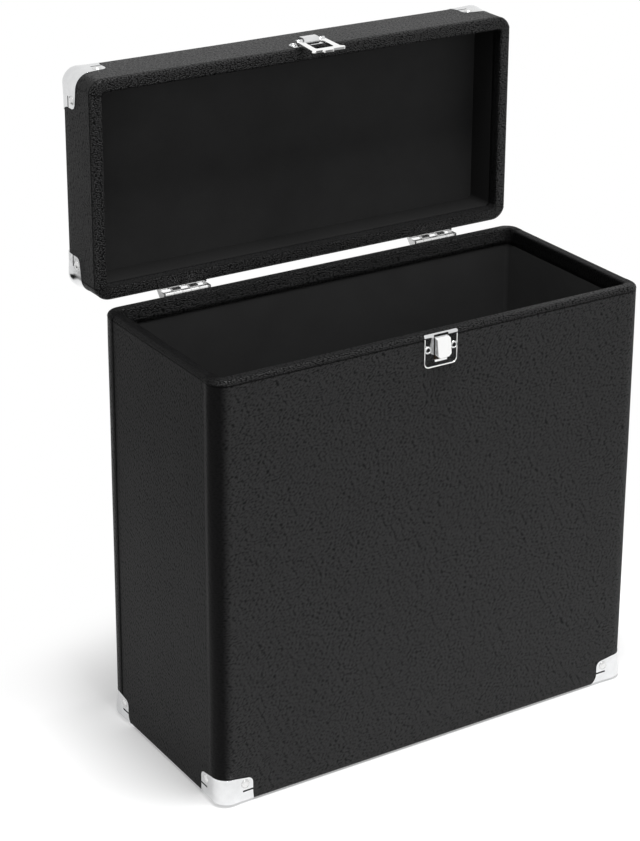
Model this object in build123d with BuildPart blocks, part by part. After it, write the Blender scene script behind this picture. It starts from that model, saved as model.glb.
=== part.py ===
from build123d import *
from math import asin, cos, sin
import os

# An upright carrying case for twelve-inch records, standing with its lid open.
#
# Millimetres. X runs along the long side, Y from the front to the back, Z up, and the origin is the
# middle of the underside. The body and the lid are both boarded boxes covered in leathercloth, so one
# set of functions makes both on a base plane: the plane lies on the closed end and its normal points
# to the rim. The lid is drawn where it stands when open, turned back a quarter turn on its hinge pins.

os.makedirs("parts", exist_ok=True)

# Driving dimensions
CASE_W = 345.0
CASE_D = 156.0
RIM_H = 312.0
LID_H = 42.0
RIM_GAP = 0.6
SHEET = 0.8
COVER = 1.0
BOARD = 6.5
LINING = 1.0
CORNER_R = 11.0
EDGE_R = 2.5
RIM_R = 3.0
MOUTH_R = 1.5
INNER_R = 3.0

# Worked out from them
WALL = COVER + BOARD + LINING
INNER_W = CASE_W - 2 * WALL
INNER_D = CASE_D - 2 * WALL
BOARDS_W = INNER_W + 2 * LINING
BOARDS_D = INNER_D + 2 * LINING
BACK = CASE_D / 2

# Hinge pins, on the back of the body just under the rim
PIN_Y = BACK + 4.2
PIN_Z = RIM_H - 2.2
LID_RIM_Y = PIN_Y + RIM_H + RIM_GAP - PIN_Z
LID_TOP_Y = LID_RIM_Y + LID_H
LID_LOW_Z = PIN_Z + PIN_Y - BACK
LID_HIGH_Z = LID_LOW_Z + CASE_D
LID_MID_Z = (LID_LOW_Z + LID_HIGH_Z) / 2

BODY_BASE = Plane.XY.offset(SHEET)
BODY_HEIGHT = RIM_H - SHEET
BODY_TURN_IN = 12.0
LID_BASE = Plane(origin=(0, LID_TOP_Y, LID_MID_Z), x_dir=(1, 0, 0), z_dir=(0, -1, 0))
LID_TURN_IN = 10.0


def save(piece, name):
    """Label a finished piece and write it as its own STEP file."""
    piece.label = name
    export_step(piece, f"parts/{name}.step")


# Boarded box: the outline, its leathercloth, its boards and its linings


def case_block(base, height, inset):
    """The box's outer form, set in all round: upright corners, closed end and rim are rounded."""
    along = Axis(base.origin, base.z_dir)
    with BuildPart() as block:
        with BuildSketch(base.offset(inset)):
            RectangleRounded(CASE_W - 2 * inset, CASE_D - 2 * inset, CORNER_R - inset)
        extrude(amount=height - 2 * inset)
        fillet(block.faces().sort_by(along)[0].edges(), EDGE_R - inset)
        fillet(block.faces().sort_by(along)[-1].edges(), RIM_R - inset)
    return block.part


def leathercloth(base, height, turn_in):
    """The covering: one skin outside, over the rim and a little way down inside."""
    along = Axis(base.origin, base.z_dir)
    with BuildPart() as skin:
        add(case_block(base, height, 0))
        add(case_block(base, height, COVER), mode=Mode.SUBTRACT)
        with BuildSketch(base.offset(height - turn_in)):
            Rectangle(BOARDS_W, BOARDS_D)
            RectangleRounded(INNER_W, INNER_D, INNER_R, mode=Mode.SUBTRACT)
        extrude(amount=turn_in - COVER)
        with BuildSketch(base.offset(height - turn_in)):
            RectangleRounded(INNER_W, INNER_D, INNER_R)
        extrude(amount=turn_in + COVER, mode=Mode.SUBTRACT)
        fillet(skin.faces().sort_by(along)[-1].inner_wires().edges(), MOUTH_R)
    return skin.part


def wall_boards(base, height):
    """All four walls and their corner posts in one ring, before it is cut into boards."""
    with BuildPart() as ring:
        add(case_block(base, height, COVER))
        with BuildSketch(base.offset(COVER)):
            Rectangle(BOARDS_W, BOARDS_D)
        extrude(amount=height, mode=Mode.SUBTRACT)
    return ring.part


def window(ring, base, height, centres, width, depth):
    """What of a ring stands inside upright windows round the given centres."""
    with BuildPart() as piece:
        add(ring)
        with BuildSketch(base):
            with Locations(*centres):
                Rectangle(width, depth)
        extrude(amount=height, mode=Mode.INTERSECT)
    return piece.part


def slab(base, lift, thickness):
    """A flat sheet that fills the box between its walls."""
    with BuildPart() as sheet:
        with BuildSketch(base.offset(lift)):
            Rectangle(BOARDS_W, BOARDS_D)
        extrude(amount=thickness)
    return sheet.part


def wall_lining(base, height, turn_in):
    """The strip of lining round the inside of the walls, butted under the turned-in covering."""
    with BuildPart() as strip:
        with BuildSketch(base.offset(WALL)):
            Rectangle(BOARDS_W, BOARDS_D)
            RectangleRounded(INNER_W, INNER_D, INNER_R, mode=Mode.SUBTRACT)
        extrude(amount=height - turn_in - WALL)
    return strip.part


def boarded_box(base, height):
    """The four boards and four posts of one box, by the side of the base plane each stands on."""
    ring = wall_boards(base, height)
    long_y = (CASE_D - CORNER_R) / 2
    short_x = (CASE_W - CORNER_R) / 2
    straight_w = CASE_W - 2 * CORNER_R
    straight_d = CASE_D - 2 * CORNER_R
    posts = [(x, y) for x in (-short_x, short_x) for y in (-long_y, long_y)]
    return {
        "low": window(ring, base, height, [(0, -long_y)], straight_w, CORNER_R),
        "high": window(ring, base, height, [(0, long_y)], straight_w, CORNER_R),
        "left": window(ring, base, height, [(-short_x, 0)], CORNER_R, straight_d),
        "right": window(ring, base, height, [(short_x, 0)], CORNER_R, straight_d),
        "posts": window(ring, base, height, posts, CORNER_R, CORNER_R),
    }


# Corner caps: pressed sheet in two ears and a flange, made once at the origin's corner

CAP_LEG = 25.0
CAP_RISE = 18.5
CAP_EDGE_RISE = 20.0
CAP_FLARE = 5.0
CAP_FLARE_RISE = 7.0
CAP_EAR_R = 4.5
CAP_FLANGE_R = 8.0
CAP_BLOCK = 60.0
SLIT_RISE = 8.7
SLIT_WIDE = 1.0
SLIT_FROM = 17.0
NAIL_FROM = 19.0
NAIL_RISE = 14.0
FLANGE_NAIL = 15.0
SHANK_R = 1.0
NAIL_HEAD_R = 3.2
NAIL_HEAD_RISE = 1.2
NAIL_LONG = 6.0
FLUSH_HEAD_R = 2.0


def corner_form(grow):
    """The box's own corner as a solid block, grown outwards by a sheet's thickness."""
    side = CAP_BLOCK + 2 * grow
    with BuildPart() as form:
        with BuildSketch(Plane.XY.offset(-grow)):
            with Locations((CAP_BLOCK / 2, CAP_BLOCK / 2)):
                RectangleRounded(side, side, CORNER_R + grow)
        extrude(amount=CAP_BLOCK)
        fillet(form.faces().sort_by(Axis.Z)[0].edges(), EDGE_R + grow)
    return form.part


def ear_outline():
    """An ear seen square on: its top, one rounded corner, and a side that flares at the edge."""
    out = 2 * SHEET
    with BuildSketch() as ear:
        with BuildLine():
            Polyline(
                (CAP_LEG + CAP_FLARE, 0),
                (CAP_LEG + CAP_FLARE, -out),
                (-out, -out),
                (-out, CAP_EDGE_RISE),
                (CORNER_R, CAP_EDGE_RISE),
                (CAP_LEG - CAP_EAR_R, CAP_RISE),
            )
            RadiusArc((CAP_LEG - CAP_EAR_R, CAP_RISE), (CAP_LEG, CAP_RISE - CAP_EAR_R), CAP_EAR_R)
            Line((CAP_LEG, CAP_RISE - CAP_EAR_R), (CAP_LEG, CAP_FLARE_RISE))
            ThreePointArc(
                (CAP_LEG, CAP_FLARE_RISE),
                (CAP_LEG + CAP_FLARE / 4, CAP_FLARE_RISE / 3),
                (CAP_LEG + CAP_FLARE, 0),
            )
        make_face()
        with Locations(((SLIT_FROM + CAP_BLOCK) / 2, SLIT_RISE)):
            Rectangle(CAP_BLOCK - SLIT_FROM, SLIT_WIDE, mode=Mode.SUBTRACT)
        with Locations((NAIL_FROM, NAIL_RISE)):
            Circle(SHANK_R, mode=Mode.SUBTRACT)
    return ear.sketch


def flange_outline():
    """The flange seen square on: a rounded corner between two flared sides."""
    out = 2 * SHEET
    far = CAP_LEG + CAP_FLARE
    swell = (CAP_LEG + CAP_FLARE / 4, CAP_FLARE_RISE / 3)
    with BuildSketch() as flange:
        with BuildLine():
            ThreePointArc((far, 0), swell, (CAP_LEG, CAP_FLARE_RISE))
            Line((CAP_LEG, CAP_FLARE_RISE), (CAP_LEG, CAP_LEG - CAP_FLANGE_R))
            RadiusArc(
                (CAP_LEG, CAP_LEG - CAP_FLANGE_R), (CAP_LEG - CAP_FLANGE_R, CAP_LEG), -CAP_FLANGE_R
            )
            Line((CAP_LEG - CAP_FLANGE_R, CAP_LEG), (CAP_FLARE_RISE, CAP_LEG))
            ThreePointArc((CAP_FLARE_RISE, CAP_LEG), swell[::-1], (0, far))
            Polyline((0, far), (-out, far), (-out, -out), (far, -out), (far, 0))
        make_face()
    return flange.sketch


def corner_cap():
    """One cap: the sheet that lies over the corner, trimmed to its two ears and its flange."""
    out = 2 * SHEET
    with BuildPart() as trim:
        with BuildSketch(Plane.XZ.offset(out)):
            add(ear_outline())
        extrude(amount=-(out + EDGE_R))
        mirror(about=Plane(origin=(0, 0, 0), z_dir=(1, -1, 0)))
        with BuildSketch(Plane.XY.offset(-out)):
            Rectangle(CORNER_R, CORNER_R, align=Align.MIN)
        extrude(amount=out + CAP_EDGE_RISE)
        with BuildSketch(Plane.XY.offset(-out)):
            add(flange_outline())
        extrude(amount=out)
    with BuildPart() as cap:
        add(corner_form(SHEET))
        add(corner_form(0), mode=Mode.SUBTRACT)
        add(trim.part, mode=Mode.INTERSECT)
        with BuildSketch(Plane.XY.offset(-SHEET)):
            with Locations((FLANGE_NAIL, FLANGE_NAIL)):
                Circle(FLUSH_HEAD_R)
        extrude(amount=SHEET, mode=Mode.SUBTRACT)
    return cap.part


def domed_nail(head_r, head_rise, shank_r, length):
    """A nail or screw: its head a cap of a sphere on the plane z = 0, its pointed shank below."""
    sphere_r = (head_r**2 + head_rise**2) / (2 * head_rise)
    lean = asin(head_r / sphere_r) / 2
    shoulder = (sphere_r * sin(lean), head_rise - sphere_r + sphere_r * cos(lean))
    with BuildPart() as nail:
        with BuildSketch(Plane.XZ):
            with BuildLine():
                ThreePointArc((head_r, 0), shoulder, (0, head_rise))
                Polyline(
                    (0, head_rise),
                    (0, -length),
                    (shank_r, -length + shank_r),
                    (shank_r, 0),
                    (head_r, 0),
                )
            make_face()
        revolve(axis=Axis.Z)
    return nail.part


def flush_nail():
    """The flange's nail: its flat head fills the hole in the sheet."""
    with BuildPart() as nail:
        with BuildSketch(Plane.XY):
            Circle(FLUSH_HEAD_R)
        extrude(amount=-SHEET)
        with BuildSketch(Plane.XY.offset(-SHEET)):
            Circle(SHANK_R)
        extrude(amount=-NAIL_LONG)
    return nail.part


def corner_frames(base):
    """A frame at each of the box's four closed corners, its X and Y along the box's edges."""
    x = CASE_W / 2
    y = CASE_D / 2
    turned = ((-x, -y, 0), (x, -y, 90), (x, y, 180), (-x, y, 270))
    return [base * Pos(px, py, 0) * Rot(0, 0, turn) for px, py, turn in turned]


def cap_nails(base):
    """The nails of one box's four caps: one domed in each ear, one flush in each flange."""
    domed = domed_nail(NAIL_HEAD_R, NAIL_HEAD_RISE, SHANK_R, NAIL_LONG)
    flush = flush_nail()
    with BuildPart() as nails:
        for frame in corner_frames(base):
            on_x_ear = Plane(origin=(NAIL_FROM, -SHEET, NAIL_RISE), z_dir=(0, -1, 0))
            on_y_ear = Plane(origin=(-SHEET, NAIL_FROM, NAIL_RISE), z_dir=(-1, 0, 0))
            on_flange = Plane(origin=(FLANGE_NAIL, FLANGE_NAIL, -SHEET), z_dir=(0, 0, -1))
            with Locations(frame * on_x_ear.location, frame * on_y_ear.location):
                add(domed)
            with Locations(frame * on_flange.location):
                add(flush)
    return nails.part


# Spring latch in the front wall: plate, sliding catch, bow spring and eyelets

PLATE_HALF = 13.5
PLATE_T = 1.0
PLATE_DROP = 24.0
PLATE_R = 4.0
PLATE_EASE = 0.3
WINDOW_HALF = 5.9
WINDOW_LOW = RIM_H - 18.4
WINDOW_HIGH = RIM_H - 1.8
LIP_HALF = 5.2
LIP_DROP = 1.9
LIP_PROUD = 0.6
EYELET_X = 10.5
EYELET_Z = RIM_H - 10.7
EYELET_HEAD_R = 2.9
EYELET_HEAD_T = 0.7
EYELET_BORE_R = 1.5
EYELET_SHANK_R = 1.9
EYELET_LONG = 5.0
POCKET_HALF = 7.8
POCKET_LOW = RIM_H - 20.0
POCKET_DEEP = COVER + BOARD - 1.0
CATCH_HALF = 5.35
CATCH_LOW = RIM_H - 16.0
CATCH_HIGH = RIM_H - 3.4
CATCH_SLOPE_HIGH = RIM_H - 2.2
CATCH_PROUD = 5.5
CATCH_R = 0.6
FLANGE_HALF = 6.8
FLANGE_T = 0.8
FLANGE_PLAY = 0.3
FLANGE_LOW = RIM_H - 17.7
FLANGE_HIGH = RIM_H - 2.6
SPRING_HALF = 3.0
SPRING_T = 0.4
SPRING_SPAN = 12.0


def latch_pocket():
    """The square hole let into the front wall behind the latch plate."""
    with BuildPart() as pocket:
        with BuildSketch(Plane.XZ.offset(BACK + COVER)):
            with Locations((0, (POCKET_LOW + WINDOW_HIGH) / 2)):
                Rectangle(2 * POCKET_HALF, WINDOW_HIGH - POCKET_LOW)
        extrude(amount=-(POCKET_DEEP + COVER))
    return pocket.part


def latch_plate():
    """The pressed plate on the front wall: window for the catch, lip under it, two rivet holes."""
    with BuildPart() as plate:
        with BuildSketch(Plane.XZ.offset(BACK)) as face:
            with Locations((0, RIM_H - PLATE_DROP / 2)):
                Rectangle(2 * PLATE_HALF, PLATE_DROP)
            fillet(face.vertices().group_by(Axis.Y)[0], PLATE_R)
        extrude(amount=PLATE_T)
        chamfer(plate.faces().sort_by(Axis.Y)[0].edges(), PLATE_EASE)
        with BuildSketch(Plane.XZ.offset(BACK + PLATE_T)):
            with Locations((0, WINDOW_LOW - LIP_DROP / 2)):
                Rectangle(2 * LIP_HALF, LIP_DROP)
        extrude(amount=LIP_PROUD)
        with BuildSketch(Plane.XZ.offset(BACK)):
            with Locations((0, (WINDOW_LOW + WINDOW_HIGH) / 2)):
                Rectangle(2 * WINDOW_HALF, WINDOW_HIGH - WINDOW_LOW)
            with Locations((-EYELET_X, EYELET_Z), (EYELET_X, EYELET_Z)):
                Circle(EYELET_SHANK_R)
        extrude(amount=2 * PLATE_T, mode=Mode.SUBTRACT)
    return plate.part


def latch_catch():
    """The catch: a hood with a sloped top, and a flange that holds it behind the plate."""
    plate_face = -BACK - PLATE_T
    nose = plate_face - CATCH_PROUD
    flange_front = -BACK + FLANGE_PLAY
    with BuildPart() as catch:
        with BuildSketch(Plane.YZ):
            with BuildLine():
                Polyline(
                    (nose, CATCH_LOW),
                    (nose, CATCH_HIGH),
                    (plate_face, CATCH_SLOPE_HIGH),
                    (flange_front, CATCH_SLOPE_HIGH),
                    (flange_front, CATCH_LOW),
                    close=True,
                )
            make_face()
        extrude(amount=CATCH_HALF, both=True)
        fillet(catch.faces().sort_by(Axis.Y)[0].edges(), CATCH_R)
        with BuildSketch(Plane.XZ.offset(-flange_front)):
            with Locations((0, (FLANGE_LOW + FLANGE_HIGH) / 2)):
                Rectangle(2 * FLANGE_HALF, FLANGE_HIGH - FLANGE_LOW)
        extrude(amount=-FLANGE_T)
    return catch.part


def latch_spring():
    """A bow of spring strip between the catch's flange and the floor of the pocket."""
    floor = -BACK + POCKET_DEEP
    crown = -BACK + FLANGE_PLAY + FLANGE_T
    mid_z = (FLANGE_LOW + FLANGE_HIGH) / 2
    foot = SPRING_SPAN / 2
    with BuildPart() as spring:
        with BuildSketch(Plane.YZ):
            with BuildLine():
                ThreePointArc((floor, mid_z - foot), (crown, mid_z), (floor, mid_z + foot))
                Line((floor, mid_z + foot), (floor, mid_z + foot - SPRING_T))
                ThreePointArc(
                    (floor, mid_z + foot - SPRING_T),
                    (crown + SPRING_T, mid_z),
                    (floor, mid_z - foot + SPRING_T),
                )
                Line((floor, mid_z - foot + SPRING_T), (floor, mid_z - foot))
            make_face()
        extrude(amount=SPRING_HALF, both=True)
    return spring.part


def eyelet():
    """A hollow rivet with its rolled head on the plane z = 0 and its barrel below."""
    with BuildPart() as rivet:
        with BuildSketch(Plane.XY):
            Circle(EYELET_HEAD_R)
        extrude(amount=EYELET_HEAD_T)
        fillet(rivet.faces().sort_by(Axis.Z)[-1].edges(), EYELET_HEAD_T / 2)
        with BuildSketch(Plane.XY.offset(-EYELET_LONG)):
            Circle(EYELET_SHANK_R)
        extrude(amount=EYELET_LONG)
        with BuildSketch(Plane.XY.offset(-EYELET_LONG)):
            Circle(EYELET_BORE_R)
        extrude(amount=EYELET_LONG + EYELET_HEAD_T, mode=Mode.SUBTRACT)
    return rivet.part


def latch_rivets():
    """The two eyelets that hold the latch plate to the front wall."""
    on_plate = Plane(origin=(0, -BACK - PLATE_T, EYELET_Z), x_dir=(1, 0, 0), z_dir=(0, -1, 0))
    with BuildPart() as rivets:
        with Locations(on_plate.offset(0)):
            with Locations((-EYELET_X, 0), (EYELET_X, 0)):
                add(eyelet())
    return rivets.part


# Hinges: stamped leaves with rolled knuckles, and stop ears that hold the lid upright when open

HINGE_X = 105.0
LEAF_HALF = 19.0
LEAF_T = 1.2
BODY_LEAF_LOW = RIM_H - 27.0
BODY_LEAF_HIGH = RIM_H - 3.0
LID_LEAF_NEAR = LID_RIM_Y + 1.0
LID_LEAF_FAR = LID_RIM_Y + 23.0
LEAF_R = 3.0
KNUCKLES = 5
KNUCKLE_PITCH = 6.8
KNUCKLE_PLAY = 0.2
KNUCKLE_R = 2.6
PIN_R = 1.2
PIN_BORE_R = 1.25
PIN_HEAD_R = 2.0
PIN_HEAD_T = 0.35
COVER_PLAY = 0.3
STOP_X = 18.0
STOP_T = 1.2
STOP_REACH = 12.0
STOP_DROP = 12.0
SCREW_X = 12.0
SCREW_HEAD_R = 2.8
SCREW_HEAD_RISE = 1.3
SCREW_R = 1.2
SCREW_LONG = 7.0
BODY_SCREWS = ((-SCREW_X, RIM_H - 13.0), (0, RIM_H - 21.0), (SCREW_X, RIM_H - 13.0))
LID_SCREWS = (
    (-SCREW_X, LID_RIM_Y + 11.0),
    (0, LID_RIM_Y + 17.0),
    (SCREW_X, LID_RIM_Y + 11.0),
)


def knuckle_centres(hinge_x, first):
    """Middles along X of every second knuckle, from the first or the second one."""
    start = hinge_x - KNUCKLE_PITCH * (KNUCKLES - 1) / 2
    return [start + KNUCKLE_PITCH * i for i in range(first, KNUCKLES, 2)]


def pin_bore(hinge_x):
    """The hole for the hinge pin, along all five knuckles."""
    with BuildPart() as bore:
        with BuildSketch(Plane.YZ.offset(hinge_x)):
            with Locations((PIN_Y, PIN_Z)):
                Circle(PIN_BORE_R)
        extrude(amount=KNUCKLE_PITCH * KNUCKLES / 2, both=True)
    return bore.part


def hinge_body_leaf(hinge_x):
    """The leaf screwed to the back of the body, with three knuckles and two stop ears."""
    half_knuckle = (KNUCKLE_PITCH - KNUCKLE_PLAY) / 2
    stop_top = LID_LOW_Z - LEAF_T - COVER_PLAY
    with BuildPart() as leaf:
        with BuildSketch(Plane.XZ.offset(-BACK)) as face:
            with Locations((hinge_x, (BODY_LEAF_LOW + BODY_LEAF_HIGH) / 2)):
                Rectangle(2 * LEAF_HALF, BODY_LEAF_HIGH - BODY_LEAF_LOW)
            fillet(face.vertices().group_by(Axis.Y)[0], LEAF_R)
            with Locations(*[(hinge_x + x, z) for x, z in BODY_SCREWS]):
                Circle(SCREW_R, mode=Mode.SUBTRACT)
        extrude(amount=-LEAF_T)
        for x in knuckle_centres(hinge_x, 0):
            with BuildSketch(Plane.YZ.offset(x)):
                with Locations((PIN_Y, PIN_Z)):
                    Circle(KNUCKLE_R)
                with Locations((BACK, PIN_Z)):
                    Rectangle(PIN_Y - BACK, KNUCKLE_R, align=(Align.MIN, Align.MAX))
            extrude(amount=half_knuckle, both=True)
        for x in (hinge_x - STOP_X, hinge_x + STOP_X):
            with BuildSketch(Plane.YZ.offset(x)):
                with BuildLine():
                    Polyline(
                        (BACK, stop_top - STOP_DROP),
                        (BACK + LEAF_T, stop_top),
                        (BACK + STOP_REACH, stop_top),
                        (BACK + LEAF_T, stop_top - STOP_DROP),
                        close=True,
                    )
                make_face()
            extrude(amount=STOP_T / 2, both=True)
        add(pin_bore(hinge_x), mode=Mode.SUBTRACT)
    return leaf.part


def hinge_lid_leaf(hinge_x):
    """The leaf screwed to the lid, with the two knuckles between the body's three."""
    half_knuckle = (KNUCKLE_PITCH - KNUCKLE_PLAY) / 2
    under = LID_LOW_Z - LEAF_T
    with BuildPart() as leaf:
        with BuildSketch(Plane.XY.offset(under)) as face:
            with Locations((hinge_x, (LID_LEAF_NEAR + LID_LEAF_FAR) / 2)):
                Rectangle(2 * LEAF_HALF, LID_LEAF_FAR - LID_LEAF_NEAR)
            fillet(face.vertices().group_by(Axis.Y)[-1], LEAF_R)
            with Locations(*[(hinge_x + x, y) for x, y in LID_SCREWS]):
                Circle(SCREW_R, mode=Mode.SUBTRACT)
        extrude(amount=LEAF_T)
        for x in knuckle_centres(hinge_x, 1):
            with BuildSketch(Plane.YZ.offset(x)):
                with Locations((PIN_Y, PIN_Z)):
                    Circle(KNUCKLE_R)
                with BuildLine():
                    Polyline(
                        (PIN_Y, PIN_Z),
                        (PIN_Y + KNUCKLE_R, PIN_Z),
                        (PIN_Y + KNUCKLE_R, under - LEAF_T),
                        (LID_LEAF_NEAR + LEAF_T, under),
                        (LID_LEAF_NEAR + LEAF_T, LID_LOW_Z - COVER_PLAY),
                        (PIN_Y, LID_LOW_Z - COVER_PLAY),
                        close=True,
                    )
                make_face()
            extrude(amount=half_knuckle, both=True)
        add(pin_bore(hinge_x), mode=Mode.SUBTRACT)
    return leaf.part


def hinge_pins():
    """The two pins, each with a flat head at both ends."""
    half = KNUCKLE_PITCH * KNUCKLES / 2
    with BuildPart() as pins:
        for hinge_x in (-HINGE_X, HINGE_X):
            with BuildSketch(Plane.YZ.offset(hinge_x)):
                with Locations((PIN_Y, PIN_Z)):
                    Circle(PIN_R)
            extrude(amount=half, both=True)
            for start, reach in ((half, PIN_HEAD_T), (-half, -PIN_HEAD_T)):
                with BuildSketch(Plane.YZ.offset(hinge_x + start)):
                    with Locations((PIN_Y, PIN_Z)):
                        Circle(PIN_HEAD_R)
                extrude(amount=reach)
    return pins.part


def hinge_screws(face, places):
    """Pan-headed screws standing on a leaf's face, three for each hinge."""
    screw = domed_nail(SCREW_HEAD_R, SCREW_HEAD_RISE, SCREW_R, SCREW_LONG)
    with BuildPart() as screws:
        with Locations(face):
            with Locations(*[(hx + x, v) for hx in (-HINGE_X, HINGE_X) for x, v in places]):
                add(screw)
    return screws.part


# Hasp on the lid: plate with a raised saddle, pin and swinging loop

HASP_HALF = 12.2
HASP_T = 1.0
HASP_NEAR = LID_RIM_Y + 4.0
HASP_FAR = LID_RIM_Y + 13.4
HASP_R = 3.6
HASP_EYELET_X = 9.2
HASP_EYELET_Y = LID_RIM_Y + 9.9
SADDLE_HALF = 6.2
SADDLE_T = 1.2
SADDLE_FOOT = LID_RIM_Y + 10.8
SADDLE_CREST = LID_RIM_Y + 6.5
HASP_PIN_Y = LID_RIM_Y + 2.0
HASP_PIN_Z = LID_HIGH_Z + 4.8
HASP_PIN_R = 1.0
HASP_BORE_R = 1.05
BARREL_R = 1.9
LOOP_DROOP = 4.0
LOOP_T = 1.7
LOOP_HALF_NEAR = 11.4
LOOP_HALF_FAR = 12.4
LOOP_INNER = 6.5
LOOP_BAR_FROM = 19.4
LOOP_END = 23.4
LOOP_R = 3.0
LOOP_KNUCKLE = 4.9
TAB_HALF = 4.0
TAB_REACH = 1.8


def hasp_plate():
    """The hasp's plate on the lid's front wall, with the saddle that carries the loop's pin."""
    barrel_top = HASP_PIN_Z + BARREL_R
    with BuildPart() as plate:
        with BuildSketch(Plane.XY.offset(LID_HIGH_Z)) as face:
            with Locations((0, (HASP_NEAR + HASP_FAR) / 2)):
                Rectangle(2 * HASP_HALF, HASP_FAR - HASP_NEAR)
            fillet(face.vertices().group_by(Axis.Y)[-1], HASP_R)
            with Locations((-HASP_EYELET_X, HASP_EYELET_Y), (HASP_EYELET_X, HASP_EYELET_Y)):
                Circle(EYELET_SHANK_R, mode=Mode.SUBTRACT)
        extrude(amount=HASP_T)
        with BuildSketch(Plane.YZ):
            with Locations((HASP_PIN_Y, HASP_PIN_Z)):
                Circle(BARREL_R)
            with BuildLine():
                Polyline(
                    (HASP_PIN_Y, barrel_top),
                    (SADDLE_CREST, barrel_top),
                    (SADDLE_FOOT, LID_HIGH_Z + HASP_T),
                    (SADDLE_FOOT, LID_HIGH_Z),
                    (SADDLE_FOOT - 2 * SADDLE_T, LID_HIGH_Z),
                    (SADDLE_CREST - SADDLE_T / 2, barrel_top - SADDLE_T),
                    (HASP_PIN_Y, barrel_top - SADDLE_T),
                    close=True,
                )
            make_face()
            with Locations((HASP_PIN_Y, HASP_PIN_Z)):
                Circle(HASP_PIN_R, mode=Mode.SUBTRACT)
        extrude(amount=SADDLE_HALF, both=True)
    return plate.part


def hasp_pin():
    """The loop's pin, through the saddle's barrel and both ends of the loop."""
    with BuildPart() as pin:
        with BuildSketch(Plane.YZ):
            with Locations((HASP_PIN_Y, HASP_PIN_Z)):
                Circle(HASP_PIN_R)
        extrude(amount=LOOP_INNER + LOOP_KNUCKLE, both=True)
    return pin.part


def hasp_rivets():
    """The two eyelets that hold the hasp plate to the lid."""
    on_plate = Plane(origin=(0, HASP_EYELET_Y, LID_HIGH_Z + HASP_T), z_dir=(0, 0, 1))
    with BuildPart() as rivets:
        with Locations(on_plate.offset(0)):
            with Locations((-HASP_EYELET_X, 0), (HASP_EYELET_X, 0)):
                add(eyelet())
    return rivets.part


def hasp_loop():
    """The swinging loop: two spreading arms from the pin, a cross bar and a finger tab."""
    droop = Location((0, HASP_PIN_Y, HASP_PIN_Z), (LOOP_DROOP, 0, 0))
    swing = Plane(droop)
    with BuildPart() as loop:
        with BuildSketch(swing) as flat:
            with BuildLine():
                Polyline(
                    (-LOOP_INNER, 0),
                    (-LOOP_HALF_NEAR, 0),
                    (-LOOP_HALF_FAR, -LOOP_END),
                    (LOOP_HALF_FAR, -LOOP_END),
                    (LOOP_HALF_NEAR, 0),
                    (LOOP_INNER, 0),
                    (LOOP_INNER, -LOOP_BAR_FROM),
                    (-LOOP_INNER, -LOOP_BAR_FROM),
                    close=True,
                )
            make_face()
            fillet(flat.vertices().group_by(Axis.Y)[0], LOOP_R)
            with Locations((0, -LOOP_END)):
                Rectangle(2 * TAB_HALF, TAB_REACH, align=(Align.CENTER, Align.MAX))
        extrude(amount=LOOP_T / 2, both=True)
        for side in (-1, 1):
            with BuildSketch(Plane.YZ.offset(side * LOOP_INNER)):
                with Locations((HASP_PIN_Y, HASP_PIN_Z)):
                    Circle(BARREL_R)
            extrude(amount=side * LOOP_KNUCKLE)
            with BuildSketch(Plane.YZ.offset(side * LOOP_INNER)):
                with Locations((HASP_PIN_Y, HASP_PIN_Z)):
                    Circle(HASP_BORE_R)
            extrude(amount=side * LOOP_KNUCKLE, mode=Mode.SUBTRACT)
    return loop.part


# Handle on the top of the lid: two lugged brackets and a moulded grip that hangs when the lid is open

HANDLE_PIVOT_OUT = 9.0
HANDLE_Y = LID_TOP_Y + HANDLE_PIVOT_OUT
HANDLE_Z = LID_MID_Z
GRIP_HALF = 58.0
GRIP_WINDOW_HALF = 44.0
GRIP_DROP = 32.0
GRIP_BAR = 13.0
GRIP_T = 11.0
GRIP_EYE_R = 5.5
GRIP_CORNER_R = 12.0
GRIP_WINDOW_R = 6.0
GRIP_EASE = 3.0
BRACKET_NEAR = GRIP_HALF + 0.4
BRACKET_FAR = BRACKET_NEAR + 26.0
BRACKET_T = 1.2
BRACKET_TALL = 22.0
LUG_T = 3.0
LUG_R = 5.0
HANDLE_PIN_R = 2.0
HANDLE_BORE_R = 2.06
HANDLE_PIN_IN = 9.0
HANDLE_PIN_HEAD_R = 3.2
HANDLE_PIN_HEAD_T = 1.2
HANDLE_SCREWS = (BRACKET_NEAR + 10.0, BRACKET_NEAR + 20.0)


def handle_grip():
    """The grip: a bar across two arms, with an eye at the top of each arm for its pin."""
    with BuildPart() as grip:
        with BuildSketch(Plane.XZ.offset(-HANDLE_Y)) as face:
            with Locations((0, HANDLE_Z + GRIP_EYE_R)):
                Rectangle(
                    2 * GRIP_HALF, GRIP_DROP + GRIP_EYE_R, align=(Align.CENTER, Align.MAX)
                )
            fillet(face.vertices().group_by(Axis.Y)[0], GRIP_CORNER_R)
        extrude(amount=GRIP_T / 2, both=True)
        with BuildSketch(Plane.XZ.offset(-HANDLE_Y)) as hole:
            with Locations((0, HANDLE_Z - GRIP_DROP + GRIP_BAR)):
                Rectangle(
                    2 * GRIP_WINDOW_HALF, 2 * GRIP_DROP, align=(Align.CENTER, Align.MIN)
                )
            fillet(hole.vertices().group_by(Axis.Y)[0], GRIP_WINDOW_R)
        extrude(amount=GRIP_T, both=True, mode=Mode.SUBTRACT)
        fillet(grip.edges().filter_by(Axis.X).group_by(Axis.Z)[0], GRIP_EASE)
        with BuildSketch(Plane.YZ.offset(-GRIP_HALF)):
            with Locations((HANDLE_Y, HANDLE_Z)):
                Circle(HANDLE_BORE_R)
        extrude(amount=2 * GRIP_HALF, mode=Mode.SUBTRACT)
    return grip.part


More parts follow.
